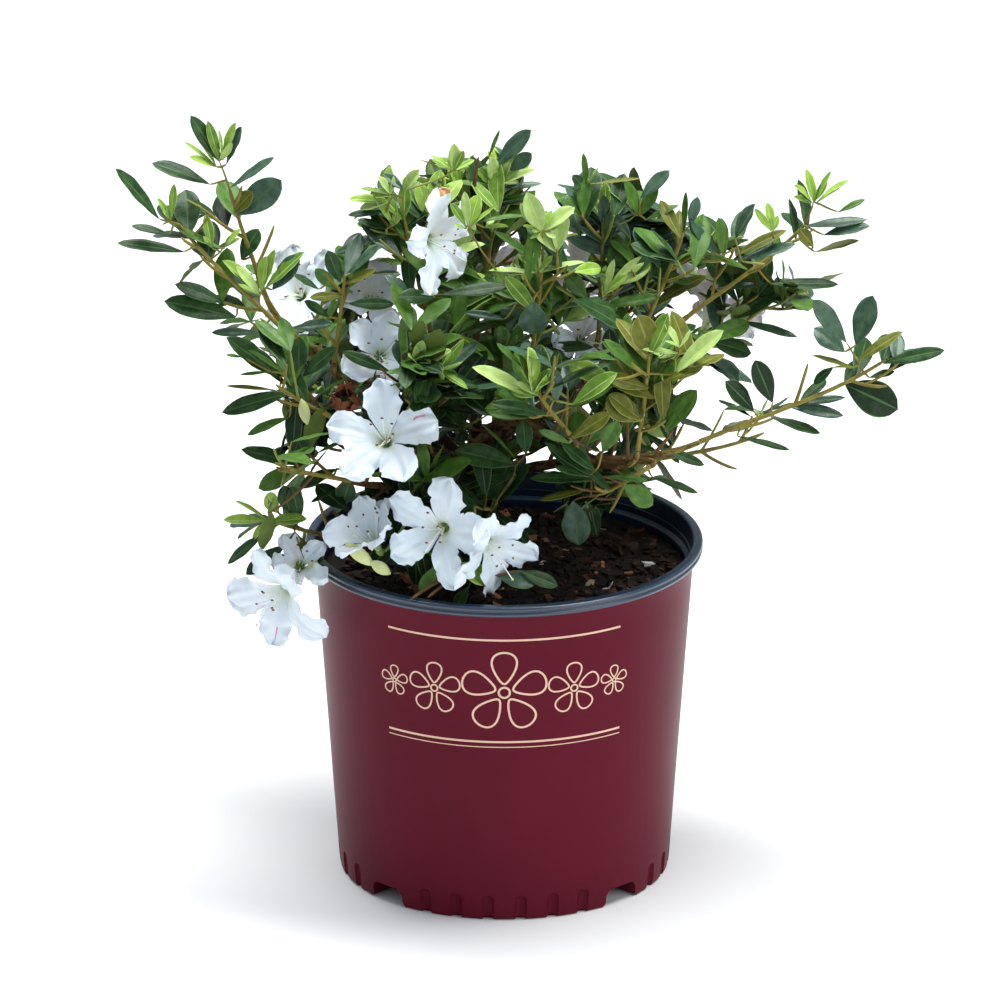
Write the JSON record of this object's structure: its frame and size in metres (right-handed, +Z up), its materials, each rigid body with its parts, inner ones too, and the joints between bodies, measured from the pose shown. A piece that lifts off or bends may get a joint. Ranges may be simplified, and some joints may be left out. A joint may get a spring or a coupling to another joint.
{
  "type": "azalea shrub in a nursery pot",
  "caption": "Open, spreading azalea shrub with dark leaves, lime new growth and white blooms, in a round nursery pot with a rolled rim and notched feet.",
  "frame": {"origin": "middle of the pot's flat underside", "axes": "+Z up out of the pot, -Y towards the shrub's front, +X to its right as seen from the front"},
  "size_m": [0.5651, 0.3772, 0.5579],
  "materials": {
    "pot": "satin moulded plastic, burgundy outside, blue-black rim and inside",
    "potting_mix": "moist composted bark chips",
    "bark": "rough brown bark",
    "foliage": "evergreen leaves, lime new growth and white blooms"
  },
  "bodies": {
    "root": {"pot": "pot", "potting_mix": "potting_mix", "trunk": "bark", "bough_left_top": "bark", "bough_crown_top": "bark", "bough_crown_mid": "bark", "bough_right_upper": "bark", "bough_right_low": "bark", "bough_left_low": "bark", "bough_back_left": "bark", "bough_back_right": "bark", "bough_back_centre": "bark", "bough_back_low": "bark", "bough_left_far": "bark", "bough_left_inner": "bark", "bough_left_mid": "bark", "bough_left_base": "bark", "bough_crown_left": "bark", "bough_centre_left": "bark", "bough_front_lime": "bark", "bough_right_top": "bark", "bough_right_high": "bark", "bough_right_mid": "bark", "bough_front_gold": "bark", "bough_front_low": "bark", "bough_right_under": "bark", "bough_back_low_left": "bark", "bough_back_low_right": "bark", "foliage_left_top": "foliage", "foliage_crown_top": "foliage", "foliage_crown_mid": "foliage", "foliage_right_upper": "foliage", "foliage_right_low": "foliage", "foliage_left_low": "foliage", "foliage_back_left": "foliage", "foliage_back_right": "foliage", "foliage_back_centre": "foliage", "foliage_back_low": "foliage", "foliage_left_far": "foliage", "foliage_left_inner": "foliage", "foliage_left_mid": "foliage", "foliage_left_base": "foliage", "foliage_crown_left": "foliage", "foliage_centre_left": "foliage", "foliage_front_lime": "foliage", "foliage_right_top": "foliage", "foliage_right_high": "foliage", "foliage_right_mid": "foliage", "foliage_front_gold": "foliage", "foliage_front_low": "foliage", "foliage_right_under": "foliage", "foliage_back_low_left": "foliage", "foliage_back_low_right": "foliage", "foliage_front_left": "foliage", "foliage_front_right": "foliage"}
  },
  "joints": []
}
